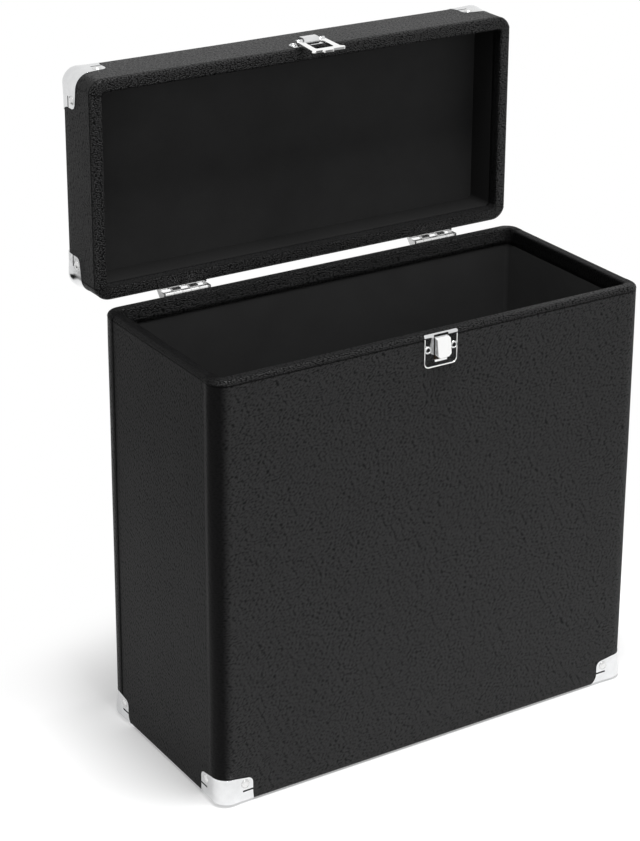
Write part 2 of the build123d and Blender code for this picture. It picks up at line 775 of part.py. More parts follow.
def handle_bracket(side):
    """A bracket on the lid's top: a screwed plate with one upright lug that carries the pin."""
    with BuildPart() as bracket:
        with BuildSketch(Plane.XZ.offset(-LID_TOP_Y)) as face:
            with Locations((side * (BRACKET_NEAR + BRACKET_FAR) / 2, HANDLE_Z)):
                Rectangle(BRACKET_FAR - BRACKET_NEAR, BRACKET_TALL)
            fillet(face.vertices(), LEAF_R)
            with Locations(*[(side * x, HANDLE_Z) for x in HANDLE_SCREWS]):
                Circle(SCREW_R, mode=Mode.SUBTRACT)
        extrude(amount=-BRACKET_T)
        with BuildSketch(Plane.YZ.offset(side * BRACKET_NEAR)):
            with Locations((HANDLE_Y, HANDLE_Z)):
                Circle(LUG_R)
            with Locations((LID_TOP_Y, HANDLE_Z)):
                Rectangle(HANDLE_PIVOT_OUT, 2 * LUG_R, align=(Align.MIN, Align.CENTER))
            with Locations((HANDLE_Y, HANDLE_Z)):
                Circle(HANDLE_PIN_R, mode=Mode.SUBTRACT)
        extrude(amount=side * LUG_T)
    return bracket.part


def handle_pins():
    """The handle's two pins, each headed outside its lug."""
    with BuildPart() as pins:
        for side in (-1, 1):
            with BuildSketch(Plane.YZ.offset(side * (GRIP_HALF - HANDLE_PIN_IN))):
                with Locations((HANDLE_Y, HANDLE_Z)):
                    Circle(HANDLE_PIN_R)
            extrude(amount=side * (BRACKET_NEAR + LUG_T - GRIP_HALF + HANDLE_PIN_IN))
            with BuildSketch(Plane.YZ.offset(side * (BRACKET_NEAR + LUG_T))):
                with Locations((HANDLE_Y, HANDLE_Z)):
                    Circle(HANDLE_PIN_HEAD_R)
            extrude(amount=side * HANDLE_PIN_HEAD_T)
    return pins.part


def handle_screws():
    """Two pan-headed screws in each bracket."""
    screw = domed_nail(SCREW_HEAD_R, SCREW_HEAD_RISE, SCREW_R, SCREW_LONG)
    on_bracket = Plane(
        origin=(0, LID_TOP_Y + BRACKET_T, HANDLE_Z), x_dir=(1, 0, 0), z_dir=(0, 1, 0)
    )
    with BuildPart() as screws:
        with Locations(on_bracket.offset(0)):
            with Locations(*[(side * x, 0) for side in (-1, 1) for x in HANDLE_SCREWS]):
                add(screw)
    return screws.part


# Base sheet, glued under the body with its corners cut off round the caps

BASE_INSET = 4.0
BASE_CUT = 39.0


def base_sheet():
    """The sheet that the case stands on."""
    with BuildPart() as sheet:
        with BuildSketch(Plane.XY) as face:
            Rectangle(CASE_W - 2 * BASE_INSET, CASE_D - 2 * BASE_INSET)
            chamfer(face.vertices(), BASE_CUT)
        extrude(amount=SHEET)
    return sheet.part


# Body

body_boards = boarded_box(BODY_BASE, BODY_HEIGHT)
pocket_hole = latch_pocket()

with BuildPart() as body_cover:
    add(leathercloth(BODY_BASE, BODY_HEIGHT, BODY_TURN_IN))
    add(pocket_hole, mode=Mode.SUBTRACT)
save(body_cover.part, "body_cover")

with BuildPart() as body_front_board:
    add(body_boards["low"])
    add(pocket_hole, mode=Mode.SUBTRACT)
save(body_front_board.part, "body_front_board")

save(body_boards["high"], "body_back_board")
save(body_boards["left"], "body_left_board")
save(body_boards["right"], "body_right_board")
save(body_boards["posts"], "body_corner_posts")
save(slab(BODY_BASE, COVER, BOARD), "body_bottom_board")
save(slab(BODY_BASE, COVER + BOARD, LINING), "body_floor_lining")
save(wall_lining(BODY_BASE, BODY_HEIGHT, BODY_TURN_IN), "body_wall_lining")
save(base_sheet(), "base_sheet")

# Lid

lid_boards = boarded_box(LID_BASE, LID_H)
save(leathercloth(LID_BASE, LID_H, LID_TURN_IN), "lid_cover")
save(lid_boards["low"], "lid_back_board")
save(lid_boards["high"], "lid_front_board")
save(lid_boards["left"], "lid_left_board")
save(lid_boards["right"], "lid_right_board")
save(lid_boards["posts"], "lid_corner_posts")
save(slab(LID_BASE, COVER, BOARD), "lid_top_board")
save(slab(LID_BASE, COVER + BOARD, LINING), "lid_top_lining")
save(wall_lining(LID_BASE, LID_H, LID_TURN_IN), "lid_wall_lining")

# Corner caps and their nails

CORNERS = {
    "body": ("front_left", "front_right", "back_right", "back_left"),
    "lid": ("back_left", "back_right", "front_right", "front_left"),
}
cap_shape = corner_cap()
for box, base in (("body", BODY_BASE), ("lid", LID_BASE)):
    for corner, frame in zip(CORNERS[box], corner_frames(base)):
        with BuildPart() as placed_cap:
            with Locations(frame):
                add(cap_shape)
        save(placed_cap.part, f"{box}_cap_{corner}")
    save(cap_nails(base), f"{box}_cap_nails")

# Latch

save(latch_plate(), "latch_plate")
save(latch_rivets(), "latch_rivets")
save(latch_catch(), "latch_catch")
save(latch_spring(), "latch_spring")

# Hinges

for hand, hinge_x in (("left", -HINGE_X), ("right", HINGE_X)):
    save(hinge_body_leaf(hinge_x), f"hinge_{hand}_body_leaf")
    save(hinge_lid_leaf(hinge_x), f"hinge_{hand}_lid_leaf")
save(hinge_pins(), "hinge_pins")
body_leaf_face = Plane(origin=(0, BACK + LEAF_T, 0), x_dir=(-1, 0, 0), z_dir=(0, 1, 0))
save(hinge_screws(body_leaf_face, BODY_SCREWS), "body_hinge_screws")
lid_leaf_face = Plane(origin=(0, 0, LID_LOW_Z - LEAF_T), x_dir=(-1, 0, 0), z_dir=(0, 0, -1))
save(hinge_screws(lid_leaf_face, LID_SCREWS), "lid_hinge_screws")

# Hasp

save(hasp_plate(), "hasp_plate")
save(hasp_pin(), "hasp_pin")
save(hasp_rivets(), "hasp_rivets")
save(hasp_loop(), "hasp_loop")

# Handle

save(handle_grip(), "handle_grip")
for hand, side in (("left", -1), ("right", 1)):
    save(handle_bracket(side), f"handle_{hand}_bracket")
save(handle_pins(), "handle_pins")
save(handle_screws(), "handle_screws")
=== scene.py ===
import math

import bmesh
import bpy
import numpy as np
from mathutils import Matrix, Vector


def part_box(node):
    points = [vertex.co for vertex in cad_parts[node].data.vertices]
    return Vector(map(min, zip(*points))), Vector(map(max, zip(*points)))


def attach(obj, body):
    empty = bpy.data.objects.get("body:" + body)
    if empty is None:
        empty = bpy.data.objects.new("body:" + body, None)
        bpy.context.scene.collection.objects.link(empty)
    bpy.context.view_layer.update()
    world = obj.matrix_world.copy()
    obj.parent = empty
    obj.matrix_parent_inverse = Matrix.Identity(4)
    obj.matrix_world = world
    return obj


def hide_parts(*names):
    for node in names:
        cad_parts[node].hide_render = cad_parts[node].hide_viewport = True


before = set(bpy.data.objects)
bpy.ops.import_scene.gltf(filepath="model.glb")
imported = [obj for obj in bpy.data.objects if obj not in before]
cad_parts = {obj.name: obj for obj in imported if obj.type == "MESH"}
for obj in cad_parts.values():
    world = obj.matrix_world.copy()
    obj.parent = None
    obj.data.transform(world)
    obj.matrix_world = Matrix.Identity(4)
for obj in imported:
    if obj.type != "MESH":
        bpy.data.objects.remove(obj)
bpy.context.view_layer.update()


# Boards and corner posts
#
# The boxes of the body and the lid are pressed fibreboard, sawn and glued round corner posts.
# Nothing of them shows once the covering and the linings are on, except where a piece is taken off.

class Wire:
    """A socket of a shader tree. Arithmetic on it adds the Math node that works the value out."""

    def __init__(self, tree, socket=None):
        self.tree = tree
        self.socket = socket

    def node(self, kind, settings=None, sockets=None, out=0):
        """Add a node, make its settings, then set or link its sockets, and give one of its outputs."""
        made = self.tree.nodes.new("ShaderNode" + kind)
        for name, value in (settings or {}).items():
            setattr(made, name, value)
        for name, value in (sockets or {}).items():
            if isinstance(value, Wire):
                self.tree.links.new(value.socket, made.inputs[name])
            else:
                made.inputs[name].default_value = value
        return Wire(self.tree, made.outputs[out])

    def math(self, operation, first, second):
        """The result of a Math node's operation on two values."""
        return self.node("Math", {"operation": operation}, {0: first, 1: second})

    def __add__(self, other):
        return self.math("ADD", self, other)

    def __radd__(self, other):
        return self.math("ADD", other, self)

    def __sub__(self, other):
        return self.math("SUBTRACT", self, other)

    def __rsub__(self, other):
        return self.math("SUBTRACT", other, self)

    def __mul__(self, other):
        return self.math("MULTIPLY", self, other)

    def __rmul__(self, other):
        return self.math("MULTIPLY", other, self)


def noise(place, size, detail=2.0, roughness=0.5):
    """Cloudy values from 0 to 1 whose blotches are about size metres across."""
    sockets = {"Vector": place, "Scale": 1 / size, "Detail": detail, "Roughness": roughness}
    return place.node("TexNoise", sockets=sockets, out="Fac")


def step_between(value, low, high):
    """0 below low and 1 above high, with a smooth rise between them."""
    sockets = {"Value": value, "From Min": low, "From Max": high}
    return value.node("MapRange", {"interpolation_type": "SMOOTHSTEP"}, sockets)


def blend(share, first, second):
    """The colour that goes from first to second as share goes from 0 to 1."""
    sockets = {0: share, 6: (*first, 1), 7: (*second, 1)}
    return share.node("Mix", {"data_type": "RGBA"}, sockets, out=2)


def material(name, finish):
    """A material: finish is given an empty wire of its tree and returns the shader of the surface."""
    made = bpy.data.materials.new(name)
    made.use_nodes = True
    made.node_tree.nodes.clear()
    shader = finish(Wire(made.node_tree))
    end = made.node_tree.nodes.new("ShaderNodeOutputMaterial")
    made.node_tree.links.new(shader.socket, end.inputs["Surface"])
    return made


def principled(wire, sockets):
    """The main surface shader, with these sockets set or linked."""
    return wire.node("BsdfPrincipled", sockets=sockets)


def bump(height, depth):
    """The surface normal of a relief whose height goes from 0 to 1 over depth metres."""
    return height.node("Bump", sockets={"Height": height, "Distance": depth}, out="Normal")


def fibreboard(wire):
    """Brown board with long pale fibres and a faint nap."""
    fibres = noise(wire.node("TexCoord", out="Object"), 0.0018, 6, 0.7)
    return principled(wire, {
        "Base Color": blend(fibres, (0.13, 0.085, 0.05), (0.34, 0.25, 0.16)),
        "Roughness": 0.75 + fibres * 0.15,
        "Normal": bump(fibres, 0.0002),
    })


def dress(name, made):
    """Give a CAD node its finish."""
    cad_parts[name].data.materials.clear()
    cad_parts[name].data.materials.append(made)


BOARD = material("fibreboard", fibreboard)
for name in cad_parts:
    if name.endswith(("_board", "_posts")):
        dress(name, BOARD)


# Leathercloth coverings
#
# One sheet of embossed black leathercloth is wrapped round each box, over the rim and a little way
# down inside, and glued. The long sides' sheets turn the corners and lap over the short sides'.

MM = 0.001
WIDE = 345 * MM
DEEP = 156 * MM
CORNER_R = 11 * MM
INNER_R = 3 * MM
EDGE_R = 2.5 * MM
RIM_R = 3 * MM
MOUTH_R = 1.5 * MM
WALL = 8.5 * MM
SHEET = 0.8 * MM
SKIN = 0.9 * MM
LAP = 0.35 * MM
LAP_EDGE = 0.25 * MM
SWELL = 0.2 * MM
CORNER_X = np.array([-1, 1, 1, -1])
CORNER_Y = np.array([-1, -1, 1, 1])
BODY_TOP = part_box("body_cover")[1].z
LID_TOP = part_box("lid_cover")[1].y
LID_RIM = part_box("lid_cover")[0].y
LID_MID = (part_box("lid_cover")[0].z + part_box("lid_cover")[1].z) / 2
BODY_TALL = BODY_TOP - SHEET
POCKET_HALF = 7.8 * MM
POCKET_LOW = BODY_TOP - 20 * MM
POCKET_HIGH = BODY_TOP - 1.8 * MM
LID_TALL = LID_TOP - LID_RIM


def stand(points):
    """Box to body: across, deep and up stay X, Y and Z, and the box stands on its base sheet."""
    return points + np.array([0, 0, SHEET])


def hang(points):
    """Box to lid: across stays X, deep is up, and up from the closed end is forward from its top."""
    return np.stack([points[..., 0], LID_TOP - points[..., 2], LID_MID + points[..., 1]], axis=-1)


def arc(centre, radius, start, end, steps):
    """Points on a circle between two angles in degrees."""
    angle = np.radians(np.linspace(start, end, steps + 1))
    return np.stack([centre[0] + radius * np.cos(angle), centre[1] + radius * np.sin(angle)], axis=-1)


def run(first, last, steps):
    """Evenly spaced points on a straight stretch, its first point left out."""
    return np.linspace(first, last, steps + 1)[1:]


def smooth(value, low, high):
    """0 below low and 1 above high, rising between as 3 s squared less 2 s cubed."""
    share = np.clip((value - low) / (high - low), 0, 1)
    return share * share * (3 - 2 * share)


def grid_mesh(name, points, around=False, keep=None, marks=None, sheet=None):
    """A mesh of the quads between neighbours of a grid of points, joined round its columns if asked.
    keep, one value for each quad, leaves quads out; marks are values on the points, kept as
    attributes; sheet is each quad's four places on the flat sheet. Points that coincide are made
    one."""
    rows, columns = points.shape[:2]
    index = np.arange(rows * columns).reshape(rows, columns)
    if around:
        index = np.concatenate([index, index[:, :1]], axis=1)
    quads = np.stack([index[:-1, :-1], index[:-1, 1:], index[1:, 1:], index[1:, :-1]], axis=-1)
    quads = quads[keep] if keep is not None else quads.reshape(-1, 4)
    mesh = bpy.data.meshes.new(name)
    mesh.from_pydata(points.reshape(-1, 3).tolist(), [], quads.tolist())
    for mark, values in (marks or {}).items():
        layer = mesh.attributes.new(mark, "FLOAT", "POINT")
        layer.data.foreach_set("value", values.astype(np.float32).ravel())
    if sheet is not None:
        places = sheet.reshape(-1, 4, 2) if keep is None else sheet[keep]
        mesh.uv_layers.new(name="sheet").data.foreach_set("uv", places.astype(np.float32).ravel())
    form = bmesh.new()
    form.from_mesh(mesh)
    bmesh.ops.remove_doubles(form, verts=form.verts, dist=1e-7)
    bmesh.ops.delete(form, geom=[v for v in form.verts if not v.link_faces], context="VERTS")
    form.to_mesh(mesh)
    form.free()
    mesh.shade_smooth()
    return mesh


def place_piece(mesh, body, made, replaced=()):
    """Put a mesh in the scene as a piece: the body it rides on, its finish and what it stands for."""
    piece = bpy.data.objects.new(mesh.name, mesh)
    bpy.context.scene.collection.objects.link(piece)
    mesh.materials.append(made)
    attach(piece, body)
    if replaced:
        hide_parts(*replaced)
    return piece


def thicken(piece, thickness, ease=0.0, steps=2):
    """Give a surface its thickness, inwards from its face, and round its edges by ease."""
    wall = piece.modifiers.new("thickness", "SOLIDIFY")
    wall.thickness = thickness
    wall.offset = -1
    wall.use_quality_normals = True
    if ease:
        edge = piece.modifiers.new("ease", "BEVEL")
        edge.width = ease
        edge.segments = steps
        edge.limit_method = "ANGLE"
        edge.angle_limit = math.radians(40)
        edge.harden_normals = True


FLAT_ROWS = 7
ROW_STEP = 9 * MM
CREASE_DROP = RIM_R + 0.5 * MM


def box_profile(tall, turn_in, cut):
    """Inset and height of the covering: from the middle of the closed end round its edge, up the
    wall with a row at the height cut, over the rim and down inside. A crease runs where the rim's
    roll begins."""
    flat = np.array([[78, 0], [62, 0], [46, 0], [32, 0], [20, 0], [12, 0], [6, 0]]) * MM
    crease = np.array([0, tall - CREASE_DROP])
    low = crease - np.array([0, 1 * MM])
    wall = np.concatenate([
        run((0, EDGE_R), (0, cut), int(cut / ROW_STEP)),
        run((0, cut), low, int((tall - cut) / ROW_STEP) + 1)])
    dip = crease + np.array([[0.0, -0.55], [0.12, -0.3], [0.65, 0.0], [0.1, 0.3], [-0.15, 0.6]]) * MM
    roll = arc((RIM_R, tall - RIM_R), RIM_R, 172, 90, 8)
    mouth = arc((WALL - MOUTH_R, tall - MOUTH_R), MOUTH_R, 90, 0, 5)
    inside = run((WALL, tall - MOUTH_R), (WALL, tall - turn_in), 3)
    return np.concatenate([flat, arc((EDGE_R, EDGE_R), EDGE_R, 270, 180, 6), wall, dip, roll, mouth, inside])


def box_columns(seam):
    """Columns round the box, from the corner at the front left: the corner that each starts from,
    its angle there, its share of the way to the next corner, how far it is past the curve on a
    short side, and how many degrees round the curve from a short side. The long sides' sheet laps
    the distance seam past the curve, or ends within it if seam is negative."""
    columns = []
    short = DEEP - 2 * CORNER_R
    edge = np.array([0, LAP_EDGE, 2 * LAP_EDGE])
    for corner in range(4):
        to_long = corner % 2 == 0
        turns = np.linspace(0, 90, 13)
        if seam < 0:
            turns = np.sort(np.concatenate([turns, np.degrees((-seam - edge) / CORNER_R)]))
        for turned in turns if to_long else turns[::-1]:
            angle = 180 + 90 * corner + (turned if to_long else 90 - turned)
            columns.append((corner, angle, 0.0, -math.radians(turned) * CORNER_R, turned))
        if to_long:
            beside = 0.5 + np.array([-1, 1]) * POCKET_HALF / (WIDE - 2 * CORNER_R)
            shares = np.sort(np.concatenate([np.linspace(0, 1, 35)[1:-1], beside]))
        else:
            laps = (seam + edge) / short if seam > 0 else []
            shares = np.sort(np.concatenate([np.linspace(0, 1, 17)[1:-1], laps, 1 - np.array(laps)]))
        for share in shares:
            past = -1.0 if to_long else short * min(share, 1 - share)
            columns.append((corner, 270 + 90 * corner, share, past, 90.0 if to_long else 0.0))
    return np.array(columns).T


def box_skin(tall, turn_in, cut, seam, corner_shade, side_shade, rim_shade):
    """The covering of one box as a grid: its profile carried round its rounded rectangle.
    At an inset t a corner's arc has the radius R - t, or the inner corner's if that is larger, and
    a straight side's points lie between the ends of two arcs. Each point is then pushed out along
    the profile's normal by the lap, where there is one, and by a slow swell of the sheet. The
    painted_shade mark, painted shade that darkens and dulls the cloth, is corner_shade on each
    corner's lap, side_shade on the short sides and rim_shade on their rims."""
    profile = box_profile(tall, turn_in, cut)
    corner, angle, share, past, turned = box_columns(seam)
    corner = corner.astype(int)
    along = np.gradient(profile, axis=0)
    along /= np.linalg.norm(along, axis=1, keepdims=True)
    smallest = np.where(profile[:, 1:] > EDGE_R, INNER_R, 0.0)

    def surface(inset, level):
        """The box's surface at an inset and a level: arc ends first, then the straights between."""
        radius = np.maximum(CORNER_R - inset, smallest)
        turn = np.radians(angle)
        reach = np.stack([np.cos(turn), np.sin(turn)])
        ends = []
        for at in (corner, np.where(share > 0, (corner + 1) % 4, corner)):
            ends.append(np.stack([
                CORNER_X[at] * (WIDE / 2 - inset - radius) + radius * reach[0],
                CORNER_Y[at] * (DEEP / 2 - inset - radius) + radius * reach[1],
                level + 0 * radius * reach[0],
            ], axis=-1))
        return ends[0] + (ends[1] - ends[0]) * share[:, None]

    inset, level = profile[:, :1], profile[:, 1:]
    flat = surface(inset, level)
    swell = np.sin(31 * flat[..., 0] + 2.1 * np.sin(19 * flat[..., 2]))
    swell = SWELL * (0.5 + 0.5 * swell * np.sin(27 * flat[..., 2] + 17 * flat[..., 1] + 0.7))
    swell = swell * (inset < 1 * MM) * smooth(tall - level, 4 * MM, 20 * MM)
    lapped = (past < seam + LAP_EDGE / 2).astype(float)
    flattened = 1 - 0.5 * smooth(level, tall - 2 * MM, tall)
    push = LAP * lapped * smooth(24 * MM - inset, 0, 8 * MM) * flattened + swell
    skin = surface(inset - push * along[:, 1:], level + push * along[:, :1])

    rim = smooth(level, tall - RIM_R - 0.2 * MM, tall - RIM_R + 0.8 * MM) + 0 * angle
    # Painted shade: the front corners' laps, the short sides and their rims are marked darker and duller,
    # standing for shade that falls there.
    shade_share = lapped * (1 - smooth(turned, 50, 84)) * np.array(corner_shade)[corner] * (1 - rim)
    shade_share = np.maximum(shade_share, side_shade * (1 - lapped) * (1 - rim))
    shade_share = np.maximum(shade_share, rim_shade * rim * (1 - smooth(turned, 10, 70)))
    shade_share = shade_share * (1 - smooth(inset, 1 * MM, 4 * MM) * (level < tall / 2))
    # Painted shade: a dark line along the crease under the rim's roll, and another along each lap's edge that
    # damps its highlight.
    crease = (1 - smooth(abs(level - tall + CREASE_DROP), 0.15 * MM, 0.8 * MM)) * (inset < 1 * MM)
    lap_edge_shade = (abs(past - seam - LAP_EDGE / 2) < LAP_EDGE * 1.2) * (inset < 24 * MM)
    marks = {"rim": rim, "painted_shade": shade_share, "crease_shade": np.maximum(crease, lap_edge_shade)}

    wrapped = np.concatenate([flat, flat[:, :1]], axis=1)
    across = np.cumsum(np.linalg.norm(np.diff(wrapped[FLAT_ROWS + 8], axis=0), axis=1))
    down = np.cumsum(np.linalg.norm(np.diff(profile, axis=0), axis=1))
    across, down = np.meshgrid(np.append(0, across), np.append(0, down))
    place = np.stack([across, down], axis=-1)
    corners = np.stack([place[:-1, :-1], place[:-1, 1:], place[1:, 1:], place[1:, :-1]], axis=2)
    end = wrapped[:FLAT_ROWS, :, :2]
    own = np.append(lapped, lapped[0]) < 0.5
    crosswise = (own[:-1] & own[1:])[None, :, None, None]
    corners = np.where(crosswise, corners[..., ::-1], corners)
    corners[:FLAT_ROWS - 1] = np.stack([end[:-1, :-1], end[:-1, 1:], end[1:, 1:], end[1:, :-1]], axis=2)
    return skin, marks, corners


def leathercloth(wire, place):
    """Black embossed cloth. On the walls its grain is long low wrinkles that climb to the right, and
    on the rim, where it is drawn over the edge, short ones across it. The troughs are duller than
    the tops. Painted shade darkens and dulls the cloth where the painted_shade mark lies, and a
    painted shade line, the crease_shade mark, darkens the crease under the rim and each lap's edge."""
    rim = wire.node("Attribute", {"attribute_name": "rim"}, out="Fac")
    painted_shade = wire.node("Attribute", {"attribute_name": "painted_shade"}, out="Fac")
    crease_shade = wire.node("Attribute", {"attribute_name": "crease_shade"}, out="Fac")
    warp = wire.node("TexNoise", sockets={"Vector": place, "Scale": 75.0, "Detail": 2.0}, out="Color")
    shaken = wire.node("VectorMath", {"operation": "MULTIPLY_ADD"}, {0: warp, 1: (0.0025,) * 3, 2: place})

    def wrinkles(turn, wide, long):
        """Long pebbles, so wide and so long, that run at an angle to the sheet's first axis: how far
        a place is from the middle of the nearest, 1 at the middle and 0 in the trough between."""
        c, s = math.cos(math.radians(turn)), math.sin(math.radians(turn))
        dot = {"operation": "DOT_PRODUCT"}
        run_on = wire.node("VectorMath", dot, {0: shaken, 1: (c / long, s / long, 0)}, out="Value")
        step_on = wire.node("VectorMath", dot, {0: shaken, 1: (-s / wide, c / wide, 0)}, out="Value")
        pebble = wire.node("CombineXYZ", sockets={"X": run_on, "Y": step_on})
        cells = {"Vector": pebble, "Scale": 1.0, "Randomness": 0.85}
        gone = wire.node("TexVoronoi", {"voronoi_dimensions": "2D"}, cells, out="Distance")
        return 1 - step_between(gone, 0.2, 0.75)

    wall_grain = wrinkles(24, 0.0008, 0.0026)
    rim_grain = wrinkles(-14, 0.0009, 0.0018)
    ridges = wall_grain + (rim_grain - wall_grain) * rim
    fine = noise(place, 0.0006, 3, 0.6)
    cloud = noise(place, 0.045, 3, 0.5)
    slack = 1 - painted_shade * 0.75
    normal = bump((ridges * (0.9 + rim * 2.1) + fine * 0.15) * slack, 0.0004)
    troughs = (1 - ridges) * (0.78 + rim * 0.22)
    # Painted shade: the painted_shade mark and the crease_shade line darken the colour here, and below they
    # also dull the sheen.
    light = ridges * 0.6 + fine * 0.25 + cloud * 0.15 - crease_shade - painted_shade * 0.45
    base = blend(light, (0.0020, 0.0020, 0.0021), (0.0100, 0.0100, 0.0104))
    roughness = 0.5 + cloud * 0.08 - ridges * 0.06
    cloth = wire.node("BsdfPrincipled", sockets={
        "Base Color": base, "Roughness": roughness, "Specular IOR Level": 0.33, "Normal": normal})
    dull = wire.node("BsdfPrincipled", sockets={
        "Base Color": base, "Roughness": roughness, "Specular IOR Level": 0.06, "Normal": normal})
    share = troughs + (1 - troughs) * painted_shade
    share = share + (1 - share) * crease_shade
    return wire.node("MixShader", sockets={0: share, 1: cloth, 2: dull})


def covering(name, node, body, skin, stance, hole=None):
    """Wrap one box in its covering, with the hole that the latch's pocket needs."""
    points, marks, sheet = skin
    keep = None
    if hole:
        around = np.concatenate([points, points[:, :1]], axis=1)
        middle = (around[:-1, :-1] + around[:-1, 1:] + around[1:, 1:] + around[1:, :-1]) / 4
        keep = ~((middle > hole[0]) & (middle < hole[1])).all(axis=-1)
    mesh = grid_mesh(name, stance(points), around=True, keep=keep, marks=marks, sheet=sheet)
    thicken(place_piece(mesh, body, LEATHERCLOTH, [node]), SKIN)


LEATHERCLOTH = material(
    "leathercloth", lambda wire: leathercloth(wire, wire.node("UVMap", {"uv_map": "sheet"})))
BASE_CLOTH = material(
    "base_leathercloth", lambda wire: leathercloth(wire, wire.node("TexCoord", out="Object")))
POCKET = (np.array([-POCKET_HALF, -DEEP / 2 - 1 * MM, POCKET_LOW - SHEET]),
          np.array([POCKET_HALF, -DEEP / 2 + 1 * MM, POCKET_HIGH - SHEET]))
# Painted shade is full on the two front corners' laps and strong on the short sides and their rims.
body_sheet = box_skin(BODY_TALL, turn_in=12 * MM, cut=POCKET_LOW - SHEET, seam=4.3 * MM,
                      corner_shade=(1, 1, 0.2, 0.2), side_shade=0.75, rim_shade=0.95)
covering("body_skin", "body_cover", "body", body_sheet, stand, POCKET)
lid_sheet = box_skin(LID_TALL, turn_in=10 * MM, cut=LID_TALL / 2, seam=-2.4 * MM,
                     corner_shade=(0.6,) * 4, side_shade=0.5, rim_shade=0.0)
covering("lid_skin", "lid_cover", "lid", lid_sheet, hang)
dress("base_sheet", BASE_CLOTH)


# Linings
#
# Thin black matt cloth on paper lines the walls, the floor of the body and the top of the lid. The
# lid's top piece was folded once before it was glued in; that fold is not drawn. The strip round
# the lid's walls is painted far darker than the other lining: painted shade.

def lining(wire, tone):
    """Matt cloth with a fine close weave and a slight clouding; the tone is its lightest grey."""
    place = wire.node("TexCoord", out="Object")
    weave = noise(place, 0.0008, 3, 0.6)
    cloud = noise(place, 0.03, 3, 0.55)
    return principled(wire, {
        "Base Color": blend(weave * 0.4 + cloud * 0.6, (tone * 0.4,) * 3, (tone, tone, tone * 1.01)),
        "Roughness": 0.85 + weave * 0.1,
        "Specular IOR Level": 0.25,
        "Normal": bump(weave, 0.00012),
    })


LINING = material("lining_cloth", lambda wire: lining(wire, 0.052))
# Painted shade: the lid's wall strip gets a far darker tone than the rest of the lining.
SHADED_STRIP = material("lid_strip_shaded_cloth", lambda wire: lining(wire, 0.009))
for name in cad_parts:
    if name.endswith("_lining"):
        dress(name, SHADED_STRIP if name == "lid_wall_lining" else LINING)


# Corner caps and their nails
#
# Each corner of a closed end wears a pressed cap of bright plated steel: two ears up the walls, each
# slit so that it can be bent round, and a flange under the end. Three nails hold it to the boards.

CAP_LEG = 25 * MM
CAP_TALL = 20 * MM
CAP_EAR_TALL = 18.5 * MM
CAP_EAR_R = 4.5 * MM
CAP_FLARE_TALL = 7 * MM
CAP_BEND = 3.3 * MM
CAP_BULGE = 0.9 * MM
SLIT_FROM = 17 * MM
SLIT_LOW = 8.1 * MM
SLIT_HIGH = 9.4 * MM
NAIL_FROM = 19 * MM
NAIL_TALL = 14 * MM
FLANGE_NAIL = 15 * MM
FLARES = {"front_left": 1.0, "front_right": 5.5, "back_right": 5.0, "back_left": 5.0}


def corner_place(corner, points):
    """Turn points drawn at a corner, X and Y along its two edges, to where that corner is."""
    turn = math.radians(90 * corner)
    x, y = points[..., 0], points[..., 1]
    return np.stack([
        CORNER_X[corner] * WIDE / 2 + math.cos(turn) * x - math.sin(turn) * y,
        CORNER_Y[corner] * DEEP / 2 + math.sin(turn) * x + math.cos(turn) * y,
        points[..., 2],
    ], axis=-1)


